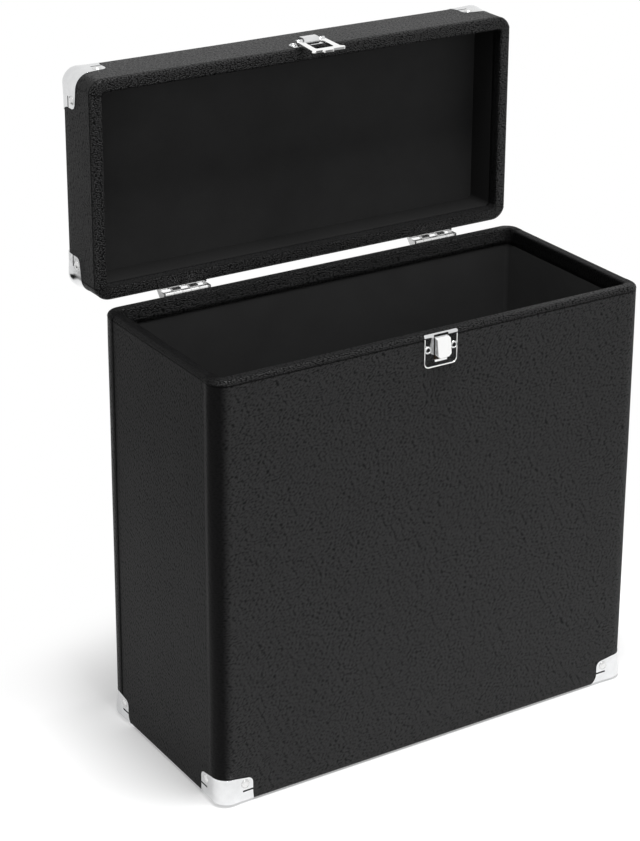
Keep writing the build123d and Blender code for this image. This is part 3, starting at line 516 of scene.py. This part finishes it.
def cap_half(flare):
    """Half of a cap, from the tip of one ear to the middle of the corner, as rows of points.
    A column on the ear is a distance from the corner, spread towards the edge by the flare; a column
    on the curve is an angle. Down a column the wall's height falls, then the edge's bend turns the
    sheet under, and the last rows run straight in to a place on the flange's outline."""
    lean = np.radians(np.linspace(90, 0, 7))
    tip = CAP_LEG - CAP_EAR_R
    ear = np.concatenate([tip + CAP_EAR_R * np.sin(lean), [19 * MM, 18 * MM, SLIT_FROM, 14 * MM, 12.5 * MM]])
    fall = (CAP_TALL - CAP_EAR_TALL) / (tip - CORNER_R)
    top = CAP_TALL - fall * (ear - CORNER_R)
    top[:7] = CAP_EAR_TALL - CAP_EAR_R * (1 - np.cos(lean))
    turn = np.radians(np.linspace(270, 225, 8))
    top = np.concatenate([top, np.full(len(turn), CAP_TALL)])
    count = len(top)
    drop = np.linspace(0, 1, 6)[:, None]
    upper = top + (SLIT_HIGH - top) * drop
    middle = np.array([SLIT_LOW, CAP_FLARE_TALL, 5.5 * MM, 4 * MM])[:, None] + 0 * top
    under = np.radians(np.linspace(0, 90, 7))[:, None] + 0 * top
    bend_z = CAP_BEND - SHEET - CAP_BEND * np.sin(under)
    bend_in = CAP_BEND - SHEET - CAP_BEND * np.cos(under)
    level = np.concatenate([upper, middle, bend_z])
    inset = np.concatenate([0 * upper - SHEET, 0 * middle - SHEET, bend_in])
    spread = np.clip(1 - (level + SHEET) / (CAP_FLARE_TALL + SHEET), 0, 1) ** 1.6 * flare
    along = CORNER_R + (ear - CORNER_R) * (1 + spread[:, :len(ear)] / (CAP_LEG - CORNER_R))
    ear_points = np.stack([along, inset[:, :len(ear)], level[:, :len(ear)]], axis=-1)
    radius = CORNER_R - inset[:, len(ear):]
    curve_points = np.stack([
        CORNER_R + radius * np.cos(turn), CORNER_R + radius * np.sin(turn), level[:, len(ear):]], axis=-1)
    wall = np.concatenate([ear_points, curve_points], axis=1)
    bulge = np.exp(-((wall[..., 2] - 4 * MM) / (6 * MM)) ** 2) * (1 - smooth(wall[..., 0], 4 * MM, 20 * MM))
    wall[..., :2] -= CAP_BULGE * bulge[..., None]
    outline = np.concatenate([
        [[CAP_LEG + flare * 0.8, 3.2 * MM], [CAP_LEG + flare * 0.25, 5 * MM]],
        [[CAP_LEG, 8 * MM], [CAP_LEG, 17 * MM]],
        arc((17 * MM, 17 * MM), 8 * MM, 0, 45, 4)])
    lengths = np.concatenate([[0], np.cumsum(np.linalg.norm(np.diff(outline, axis=0), axis=1))])
    places = np.linspace(0, lengths[-1], count)
    edge = np.stack([np.interp(places, lengths, outline[:, axis]) for axis in (0, 1)], axis=-1)
    start = wall[-1]
    share = np.array([0.2, 0.45, 0.7, 1.0])[:, None, None]
    flange = start[None] + (np.concatenate([edge, start[:, 2:]], axis=1)[None] - start[None]) * share
    return np.concatenate([wall, flange])


def cap_surface(flares):
    """A whole cap: one half, and the other mirrored over the corner's middle, X and Y exchanged."""
    first = cap_half(flares[0])
    second = cap_half(flares[1])[:, ::-1][..., [1, 0, 2]]
    return np.concatenate([first, second[:, 1:]], axis=1)


def slit_mask(points):
    """True for the quads to keep: all but those in the two slits."""
    middle = (points[:-1, :-1] + points[:-1, 1:] + points[1:, 1:] + points[1:, :-1]) / 4
    far = np.maximum(middle[..., 0], middle[..., 1]) > SLIT_FROM
    return ~(far & (middle[..., 2] > SLIT_LOW) & (middle[..., 2] < SLIT_HIGH))


def turned(profile, steps=32):
    """A profile of radius and height spun about the Z axis, as rows of points round it."""
    angle = np.linspace(0, 2 * math.pi, steps, endpoint=False)
    radius, height = profile[:, :1], profile[:, 1:]
    return np.stack([radius * np.cos(angle), radius * np.sin(angle), height + 0 * angle], axis=-1)


def aim(points, origin, axis):
    """Points drawn about Z moved to an origin, with Z turned to an axis."""
    axis = np.array(axis, float)
    side = np.cross([0.0, 0.0, 1.0] if abs(axis[2]) < 0.9 else [0.0, 1.0, 0.0], axis)
    side /= np.linalg.norm(side)
    frame_rows = np.stack([side, np.cross(axis, side), axis])
    return points @ frame_rows + np.array(origin)


def joined(name, parts):
    """One mesh of several, their points and faces one after another."""
    form = bmesh.new()
    for part in parts:
        form.from_mesh(part)
        bpy.data.meshes.remove(part)
    mesh = bpy.data.meshes.new(name)
    form.to_mesh(mesh)
    form.free()
    mesh.shade_smooth()
    return mesh


def bright_chrome(wire):
    """Bright plating, polished but not flat, with faint handling marks."""
    place = wire.node("TexCoord", out="Object")
    smear = noise(place, 0.012, 3, 0.6)
    return principled(wire, {
        "Base Color": blend(smear, (0.55, 0.555, 0.56), (0.82, 0.825, 0.83)),
        "Metallic": 1.0,
        "Roughness": 0.07 + smear * 0.1,
        "Normal": bump(noise(place, 0.007, 2, 0.5), 0.0002),
    })


def nickelled_steel(wire):
    """Duller plated steel of the small fastenings."""
    smear = noise(wire.node("TexCoord", out="Object"), 0.004, 3, 0.6)
    return principled(wire, {
        "Base Color": blend(smear, (0.6, 0.6, 0.6), (0.78, 0.78, 0.775)),
        "Metallic": 1.0,
        "Roughness": 0.2 + smear * 0.14,
        "Normal": bump(smear, 0.00003),
    })


CHROME = material("bright_chrome", bright_chrome)
NICKEL = material("nickelled_steel", nickelled_steel)
DOME_NAIL = np.array([[3.3, -0.1], [3.3, 0.25], [3.15, 0.42], [2.95, 0.4], [2.8, 0.12], [2.62, 0.1],
                      [2.45, 0.5], [2.1, 0.68], [1.4, 0.84], [0.7, 0.92], [0, 0.95]]) * MM
FLUSH_NAIL = np.array([[2.0, -0.3], [2.0, 0.0], [1.8, 0.12], [1.0, 0.16], [0, 0.18]]) * MM


def caps_and_nails(body, tall_stance):
    """The four caps of one box and the twelve nails that hold them."""
    nails = []
    for corner, (side, flare) in enumerate(FLARES.items()):
        surface = cap_surface((flare * MM, flare * MM))
        name = f"{body}_cap_{side}"
        points = tall_stance(corner_place(corner, surface))
        cap = grid_mesh(name + "_sheet", points, keep=slit_mask(surface))
        thicken(place_piece(cap, body, CHROME, [name]), SHEET * 0.95, 0.22 * MM)
        on_ears = (((NAIL_FROM, -SHEET, NAIL_TALL), (0, -1, 0)), ((-SHEET, NAIL_FROM, NAIL_TALL), (-1, 0, 0)))
        heads = [(DOME_NAIL, *ear) for ear in on_ears]
        heads.append((FLUSH_NAIL, (FLANGE_NAIL, FLANGE_NAIL, -SHEET), (0, 0, -1)))
        for profile, origin, axis in heads:
            head = tall_stance(corner_place(corner, aim(turned(profile), origin, axis)))
            nails.append(grid_mesh("head", head, around=True))
    place_piece(joined(body + "_nail_heads", nails), body, NICKEL, [body + "_cap_nails"])


caps_and_nails("body", stand)
caps_and_nails("lid", hang)


# Spring latch
#
# A plated steel plate is riveted over a pocket in the front wall by two hollow eyelets, its top edge
# bent to the rim's roll. The sprung catch stands out through its window, above a pressed lip.

PLATE_HALF = 13.5 * MM
PLATE_T = 1 * MM
PLATE_LOW = BODY_TOP - 24 * MM
PLATE_R = 4 * MM
PLATE_EASE = 0.25 * MM
WINDOW_HALF = 5.9 * MM
WINDOW_LOW = BODY_TOP - 18.4 * MM
WINDOW_HIGH = BODY_TOP - 1 * MM
LATCH_FRONT = -DEEP / 2 - PLATE_T
EYELET_X = 10.5 * MM
EYELET_Z = BODY_TOP - 10.7 * MM
EYELET_SHANK_R = 1.9 * MM
BORDER_R = 0.5 * MM
BEND_FROM = BODY_TOP - 2 * MM
BEND_R = 2 * MM
HOOD_HALF = 5.35 * MM
HOOD_LOW = BODY_TOP - 16 * MM
HOOD_HIGH = BODY_TOP - 2.2 * MM
HOOD_FALL = 1.2 * MM
HOOD_LEAN = math.radians(8)
HOOD_BACK = -DEEP / 2 + 0.4 * MM
HOOD_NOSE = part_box("latch_catch")[0].y


def rounded(corners, radii, steps=6):
    """A closed outline whose corners are rounded: at each, the arc that touches both its sides."""
    corners = np.array(corners, float)
    outline = []
    for here, before, after, radius in zip(corners, np.roll(corners, 1, 0), np.roll(corners, -1, 0), radii):
        if radius == 0:
            outline.append(here[None])
            continue
        back = (before - here) / np.linalg.norm(before - here)
        on = (after - here) / np.linalg.norm(after - here)
        half = math.acos(np.clip(back @ on, -1, 1)) / 2
        middle = (back + on) / np.linalg.norm(back + on)
        centre = here + middle * radius / math.sin(half)
        first = here + back * radius / math.tan(half) - centre
        last = here + on * radius / math.tan(half) - centre
        share = np.linspace(0, 1, steps + 1)[:, None]
        chord = first * (1 - share) + last * share
        outline.append(centre + radius * chord / np.linalg.norm(chord, axis=1, keepdims=True))
    return np.concatenate(outline)


def ring(centre, radius, steps=28):
    """A circle's outline."""
    return arc(centre, radius, 0, 360, steps)[:-1]


def cut_sheet(name, outlines, place, levels=()):
    """A flat sheet inside the first outline, with the others as holes, cut across at some levels of
    its second axis so that it can be bent there; place turns its flat points into space."""
    form = bmesh.new()
    for outline in outlines:
        corners = [form.verts.new((x, y, 0)) for x, y in outline]
        for first, second in zip(corners, corners[1:] + corners[:1]):
            form.edges.new((first, second))
    bmesh.ops.triangle_fill(form, use_beauty=True, edges=form.edges, normal=(0, 0, 1))
    for level in levels:
        everything = form.verts[:] + form.edges[:] + form.faces[:]
        bmesh.ops.bisect_plane(form, geom=everything, plane_co=(0, level, 0), plane_no=(0, 1, 0))
    if sum(face.normal.z for face in form.faces) < 0:
        bmesh.ops.reverse_faces(form, faces=form.faces)
    mesh = bpy.data.meshes.new(name)
    form.to_mesh(mesh)
    form.free()
    flat = np.zeros(len(mesh.vertices) * 3, np.float32)
    mesh.vertices.foreach_get("co", flat)
    mesh.vertices.foreach_set("co", place(flat.reshape(-1, 3).astype(float)).astype(np.float32).ravel())
    mesh.update()
    mesh.shade_smooth()
    return mesh


def on_front(points):
    """Sheet to front wall: its second axis is up, and it faces the front; its last part leans back
    round an arc, over the rim's roll."""
    x, up = points[..., 0], points[..., 1]
    turn = np.clip(up - BEND_FROM, 0, BEND_R) / BEND_R * math.radians(75)
    z = np.where(turn > 0, BEND_FROM + BEND_R * np.sin(turn), up)
    return np.stack([x, LATCH_FRONT + BEND_R * (1 - np.cos(turn)), z], axis=-1)


def tube(name, path, radius, steps=10, normal=(0, 0, 1)):
    """A round wire along a path: circles that stand square to it, drawn in to a rounded end."""
    path = np.array(path, float)
    radius = np.broadcast_to(radius, len(path))
    along = np.gradient(path, axis=0)
    along /= np.linalg.norm(along, axis=1, keepdims=True)
    side = np.cross(along, np.array(normal, float))
    side /= np.linalg.norm(side, axis=1, keepdims=True)
    up = np.cross(side, along)
    take = np.concatenate([[0, 0], np.arange(len(path)), [-1, -1]])
    beyond = np.concatenate([[-0.5, -0.35], np.zeros(len(path)), [0.35, 0.5]]) * radius[take]
    size = np.concatenate([[0, 0.75], np.ones(len(path)), [0.75, 0]]) * radius[take]
    angle = np.linspace(0, 2 * math.pi, steps, endpoint=False)[:, None]
    ringed = side[take][:, None] * np.cos(angle) + up[take][:, None] * np.sin(angle)
    centres = path[take] + along[take] * beyond[:, None]
    return grid_mesh(name, centres[:, None] + ringed * size[:, None, None], around=True)


def latch_plate():
    """The plate with its window and rivet holes, and the raised border pressed round its sides."""
    outline = rounded([(-PLATE_HALF, PLATE_LOW), (PLATE_HALF, PLATE_LOW), (PLATE_HALF, BODY_TOP),
                       (-PLATE_HALF, BODY_TOP)], (PLATE_R, PLATE_R, 1 * MM, 1 * MM))
    window = rounded([(-WINDOW_HALF, WINDOW_LOW), (WINDOW_HALF, WINDOW_LOW), (WINDOW_HALF, WINDOW_HIGH),
                      (-WINDOW_HALF, WINDOW_HIGH)], (0.5 * MM,) * 4, 3)
    holes = [ring((side * EYELET_X, EYELET_Z), EYELET_SHANK_R) for side in (-1, 1)]
    levels = [BEND_FROM + step * 0.4 * MM for step in range(-1, 6)]
    mesh = cut_sheet("latch_face", [outline, window, *holes], on_front, levels)
    thicken(place_piece(mesh, "body", CHROME, ["latch_plate"]), PLATE_T, PLATE_EASE)
    inner = PLATE_HALF - BORDER_R
    low = PLATE_LOW + BORDER_R
    sides = rounded([(-inner, BODY_TOP - RIM_R), (-inner, low), (inner, low), (inner, BODY_TOP - RIM_R)],
                    (0, PLATE_R - BORDER_R, PLATE_R - BORDER_R, 0), 8)
    path = np.stack([sides[:, 0], np.full(len(sides), LATCH_FRONT + 0.1 * MM), sides[:, 1]], axis=-1)
    thinner = 1 - 0.4 * smooth(sides[:, 1], low, low + PLATE_R)
    border = tube("border", path, BORDER_R * thinner, normal=(0, 1, 0))
    lip_path = np.stack([np.linspace(-4.4, 4.4, 9) * MM, np.full(9, LATCH_FRONT - 0.1 * MM),
                         np.full(9, WINDOW_LOW - 0.9 * MM)], axis=-1)
    lip = tube("lip", lip_path, 0.85 * MM, normal=(0, 1, 0))
    place_piece(joined("latch_border", [border, lip]), "body", POLISH)


EYELET = np.array([[1.4, -4.0], [1.4, -0.2], [1.4, 0.3], [1.48, 0.52], [1.68, 0.68], [1.95, 0.72],
                   [2.3, 0.6], [2.55, 0.34], [2.65, 0.0], [2.65, -0.05]]) * MM


def eyelets(name, body, node, origins, axis):
    """Hollow rivets: a rolled head round a bore that stays open."""
    heads = [grid_mesh("eyelet", aim(turned(EYELET[::-1]), origin, axis), around=True) for origin in origins]
    place_piece(joined(name, heads), body, CHROME, [node])


def polished_nickel(wire):
    """Thick nickel polished to a mirror, on the parts that a thumb touches."""
    smear = noise(wire.node("TexCoord", out="Object"), 0.006, 2, 0.5)
    return principled(wire, {
        "Base Color": (0.95, 0.95, 0.945, 1),
        "Metallic": 1.0,
        "Roughness": 0.04 + smear * 0.07,
    })


POLISH = material("polished_nickel", polished_nickel)


def latch_catch():
    """The catch: a hood with cut lower corners whose top falls a little to the front."""
    half, low, high = HOOD_HALF, HOOD_LOW, HOOD_HIGH
    outline = [(-half + 1 * MM, low), (half - 1.9 * MM, low), (half, low + 1.9 * MM),
               (half, high), (-half, high), (-half, low + 1 * MM)]

    def place(points):
        """Sheet to the catch's front, which leans back; its upper edge falls."""
        z = points[..., 1] - np.where(points[..., 1] > high - 0.1 * MM, HOOD_FALL, 0)
        return np.stack([points[..., 0], HOOD_NOSE + (z - low) * math.tan(HOOD_LEAN), z], axis=-1)

    mesh = cut_sheet("latch_hood", [np.array(outline)], place)
    form = bmesh.new()
    form.from_mesh(mesh)
    raised = bmesh.ops.extrude_face_region(form, geom=form.faces[:])
    behind = [v for v in raised["geom"] if isinstance(v, bmesh.types.BMVert)]
    for corner in behind:
        corner.co.y = HOOD_BACK
        corner.co.z += HOOD_FALL if corner.co.z > high - 1.3 * MM else 0
    bmesh.ops.recalc_face_normals(form, faces=form.faces)
    form.to_mesh(mesh)
    form.free()
    piece = place_piece(mesh, "latch_catch", POLISH, ["latch_catch"])
    edge = piece.modifiers.new("ease", "BEVEL")
    edge.width = 0.4 * MM
    edge.segments = 4
    edge.limit_method = "ANGLE"
    edge.angle_limit = math.radians(30)
    edge.harden_normals = True


latch_plate()
eyelets("latch_eyelets", "body", "latch_rivets",
        [(side * EYELET_X, LATCH_FRONT, EYELET_Z) for side in (-1, 1)], (0, -1, 0))
latch_catch()
dress("latch_spring", NICKEL)


# Hasp
#
# The lid carries a riveted plate whose bent saddle holds a pin, and on the pin swings the loop that
# drops over the catch when the lid is shut. All of it is bright plated steel.

HASP_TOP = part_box("hasp_plate")[0].z + 1 * MM
HASP_HALF = 12.2 * MM
HASP_NEAR = LID_RIM + 4 * MM
HASP_FAR = LID_RIM + 13.4 * MM
HASP_EYELET_X = 9.2 * MM
HASP_EYELET_Y = LID_RIM + 9.9 * MM
PIN_Y = LID_RIM + 2 * MM
PIN_Z = HASP_TOP + 3.8 * MM
BARREL_R = 1.9 * MM
SADDLE_HALF = 6.2 * MM
LOOP_DROOP = math.radians(4)
LOOP_T = 1.7 * MM


def hasp_plate():
    """The flat plate, and the saddle: a sheet from the plate up and round the pin's barrel."""
    outline = rounded([(-HASP_HALF, HASP_NEAR), (HASP_HALF, HASP_NEAR), (HASP_HALF, HASP_FAR),
                       (-HASP_HALF, HASP_FAR)], (1 * MM, 1 * MM, 3.6 * MM, 3.6 * MM))
    holes = [ring((side * HASP_EYELET_X, HASP_EYELET_Y), EYELET_SHANK_R) for side in (-1, 1)]

    def place(points):
        """Sheet to the top of the lid's front wall, at one height."""
        return np.stack([points[..., 0], points[..., 1], HASP_TOP + 0 * points[..., 0]], -1)

    mesh = cut_sheet("hasp_base", [outline, *holes], place)
    thicken(place_piece(mesh, "lid", CHROME, ["hasp_plate"]), 1 * MM, 0.25 * MM)
    crest = PIN_Z + BARREL_R
    slope = np.array([[10.8, -5.7], [9.9, -4.4], [9.1, -2.9], [8.3, -1.5],
                      [7.5, -0.6], [6.5, -0.12], [5.3, 0], [3.5, 0]]) * MM
    slope = slope + np.array([LID_RIM, crest])
    round_pin = arc((PIN_Y, PIN_Z), BARREL_R, 90, 400, 26)
    profile = np.concatenate([slope, round_pin])
    x = np.array([-1, -0.985, -0.9, -0.5, 0, 0.5, 0.9, 0.985, 1])
    narrow = 1 - 0.12 * smooth(profile[:, :1], LID_RIM + 6 * MM, LID_RIM + 11 * MM)
    points = np.stack([SADDLE_HALF * x * narrow, profile[:, :1] + 0 * x, profile[:, 1:] + 0 * x], axis=-1)
    saddle = grid_mesh("hasp_saddle", points)
    thicken(place_piece(saddle, "lid", CHROME), 0.8 * MM, 0.2 * MM)


def swung(points):
    """Loop to lid: its plane holds the pin's axis and droops to the front."""
    x, out, up = points[..., 0], points[..., 1], points[..., 2]
    c, s = math.cos(LOOP_DROOP), math.sin(LOOP_DROOP)
    return np.stack([x, PIN_Y + out * c - up * s, PIN_Z + out * s + up * c], axis=-1)


def hasp_loop():
    """The loop: two arms that spread from the pin, a cross bar, a finger tab, and eyes on the pin."""
    outer = [(-11.4, 1.4), (-11.4, 0), (-12.4, -23.4), (-4, -23.4), (-4, -25.2), (4, -25.2), (4, -23.4),
             (14.6, -23.4), (14.6, -20.8), (12.2, -19.6), (11.4, 0), (11.4, 1.4), (6.5, 1.4), (6.5, -3),
             (7.3, -8), (7.3, -19.4), (-7.3, -19.4), (-7.3, -8), (-6.5, -3), (-6.5, 1.4)]
    radii = [0.4, 0, 3, 0.5, 0.8, 0.8, 0.5, 1.2, 1.2, 1.0, 0, 0.4, 0.4, 0, 2, 1.2, 1.2, 2, 0, 0.4]
    outline = rounded(np.array(outer) * MM, np.array(radii) * MM, 5)
    mesh = cut_sheet("hasp_frame", [outline], lambda p: swung(p + np.array([0, 0, LOOP_T / 2])))
    thicken(place_piece(mesh, "hasp_loop", POLISH, ["hasp_loop"]), LOOP_T, 0.6 * MM, 4)
    eye = np.array([[1.05, 0], [1.05, 4.9], [1.7, 4.9], [1.9, 4.7], [1.9, 0.2], [1.7, 0], [1.05, 0]]) * MM
    eyes = [grid_mesh("eye", aim(turned(eye[::-1]), (x, PIN_Y, PIN_Z), (1, 0, 0)), around=True)
            for x in (6.5 * MM, -11.4 * MM)]
    place_piece(joined("hasp_eyes", eyes), "hasp_loop", CHROME)


hasp_plate()
hasp_loop()
eyelets("hasp_eyelets", "lid", "hasp_rivets",
        [(side * HASP_EYELET_X, HASP_EYELET_Y, HASP_TOP) for side in (-1, 1)], (0, 0, 1))
dress("hasp_pin", CHROME)


# Hinges and handle
#
# Two steel hinges are screwed to the back walls, and a moulded plastic grip swings on pins between
# two steel brackets. All are rigid and plain, so they keep the frame's own shapes.

def handle_plastic(wire):
    """Black moulded plastic with a fine satin texture."""
    fine = noise(wire.node("TexCoord", out="Object"), 0.0006, 2, 0.5)
    return principled(wire, {
        "Base Color": (0.012, 0.012, 0.0125, 1),
        "Roughness": 0.42 + fine * 0.1,
        "Normal": bump(fine, 0.00006),
    })


PLASTIC = material("handle_plastic", handle_plastic)
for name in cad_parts:
    if name.startswith(("hinge_", "handle_", "body_hinge", "lid_hinge")):
        dress(name, PLASTIC if name == "handle_grip" else NICKEL)


# Stage: floor, light and camera
#
# A white floor under an even white sky, and one soft lamp overhead. Only reflections see the two
# painted dark patches on the floor, a painted reflection of black cards that are not there.

FLOOR_REACH = 6.0
SHADOW_REACH = 0.3
WHITE_FROM = 0.45
SHADOW_DRAWN = (1, 1.35, 1)
SHADOW_AHEAD = (0, 0.135, 0)
MIRRORED_WHITE = (1.1, 1.4)
# Painted reflection: places and sizes of the two dark patches that only mirrors see, and their faint glow.
FRONT_DARK_PATCH = ((0.2, -0.78), 0.95, 0.4)
SIDE_DARK_PATCH = ((-0.6, 0.45), 0.3, 0.6)
DARK_PATCH_GLOW = 0.015
FLOOR_LIFT = 0.33
SKY_LIGHT = 0.28


def flat_stage(name, corners, shader):
    """A flat quad with its own material that isn't part of the object."""
    mesh = grid_mesh(name, np.array(corners, float))
    card = bpy.data.objects.new(name, mesh)
    bpy.context.scene.collection.objects.link(card)
    mesh.materials.append(material(name + "_paint", shader))
    return card


def dip(place, centre, wide, deep):
    """1 about a place on the floor, falling smoothly to 0 on an oval round it."""
    scaled = place.node("VectorMath", {"operation": "DIVIDE"}, {0: place, 1: (wide, deep, 1)}, out="Vector")
    middle = (centre[0] / wide, centre[1] / deep, 0)
    away = place.node("VectorMath", {"operation": "DISTANCE"}, {0: scaled, 1: middle}, out="Value")
    return 1 - step_between(away, 0.55, 1)


def floor_paint(wire):
    """Matt white that keeps its shadows; far from the object the camera sees it plain white. In
    mirrors it has two painted dark patches, a painted reflection as if black cards lay there."""
    seen = wire.node("LightPath", out="Is Camera Ray")
    mirrored = wire.node("LightPath", out="Is Glossy Ray")
    place = wire.node("TexCoord", out="Object")
    far = place.node("VectorMath", {"operation": "LENGTH"}, {0: place}, out="Value")
    oval = {0: place, 1: SHADOW_DRAWN, 2: SHADOW_AHEAD}
    drawn = place.node("VectorMath", {"operation": "MULTIPLY_ADD"}, oval, out="Vector")
    out = place.node("VectorMath", {"operation": "LENGTH"}, {0: drawn}, out="Value")
    away = step_between(out, SHADOW_REACH, WHITE_FROM) * seen
    away = away + step_between(far, *MIRRORED_WHITE) * mirrored
    # Painted reflection: two dark patches that only mirror rays see.
    dark_patches = (dip(place, *FRONT_DARK_PATCH) + dip(place, *SIDE_DARK_PATCH)) * mirrored
    matt = wire.node("BsdfDiffuse", sockets={"Color": (0.9, 0.9, 0.9, 1)})
    lift = wire.node("Emission", sockets={"Color": (1, 1, 1, 1), "Strength": (seen + mirrored) * FLOOR_LIFT})
    lit = wire.node("AddShader", sockets={0: matt, 1: lift})
    black = wire.node("Emission", sockets={"Color": (1, 1, 1, 1), "Strength": DARK_PATCH_GLOW})
    patched_floor = wire.node("MixShader", sockets={0: dark_patches, 1: lit, 2: black})
    white = wire.node("Emission", sockets={"Color": (1, 1, 1, 1), "Strength": 1.0})
    return wire.node("MixShader", sockets={0: away, 1: patched_floor, 2: white})


def sky():
    """Even white light, dimmer for diffuse rays than for mirrors and the camera."""
    world = bpy.data.worlds.new("studio")
    world.use_nodes = True
    bpy.context.scene.world = world
    world.node_tree.nodes.clear()
    start = Wire(world.node_tree)
    kinds = ("Is Camera Ray", "Is Glossy Ray", "Is Transmission Ray")
    direct = sum(start.node("LightPath", out=kind) for kind in kinds)
    strength = SKY_LIGHT + direct * (1 - SKY_LIGHT)
    light = start.node("Background", sockets={"Color": (1, 1, 1, 1), "Strength": strength})
    end = world.node_tree.nodes.new("ShaderNodeOutputWorld")
    world.node_tree.links.new(light.socket, end.inputs["Surface"])


def lamp(name, place, target, side, power):
    """A square soft lamp at a place, turned to shine at a point."""
    data = bpy.data.lights.new(name, "AREA")
    data.shape = "SQUARE"
    data.size = side
    data.energy = power
    light = bpy.data.objects.new(name, data)
    bpy.context.scene.collection.objects.link(light)
    light.location = place
    light.rotation_euler = (Vector(target) - Vector(place)).to_track_quat("-Z", "Y").to_euler()


edge = (-FLOOR_REACH, FLOOR_REACH)
flat_stage("floor", [[(x, y, 0) for x in edge] for y in edge], floor_paint)
sky()
lamp("key", place=(0.02, -0.25, 1.9), target=(0.0, -0.05, 0.1), side=0.5, power=29)

IMAGE_H = 841
FOCAL_PX = 2410.514
CENTRE_Y = 280.0
PITCH = 0.35554
YAW = -0.56211
ROLL = 0.00422
EYE = (-0.86445, -1.29941, 0.9034)
camera = bpy.data.objects.new("camera", bpy.data.cameras.new("camera"))
bpy.context.scene.collection.objects.link(camera)
camera.data.lens = FOCAL_PX / IMAGE_H * camera.data.sensor_width
camera.data.shift_y = (CENTRE_Y - IMAGE_H / 2) / IMAGE_H
turn = Matrix.Rotation(YAW, 4, "Z") @ Matrix.Rotation(math.pi / 2 - PITCH, 4, "X")
turn = turn @ Matrix.Rotation(ROLL, 4, "Z")
camera.matrix_world = Matrix.Translation(EYE) @ turn
bpy.context.scene.camera = camera
bpy.context.scene.view_settings.view_transform = "Standard"
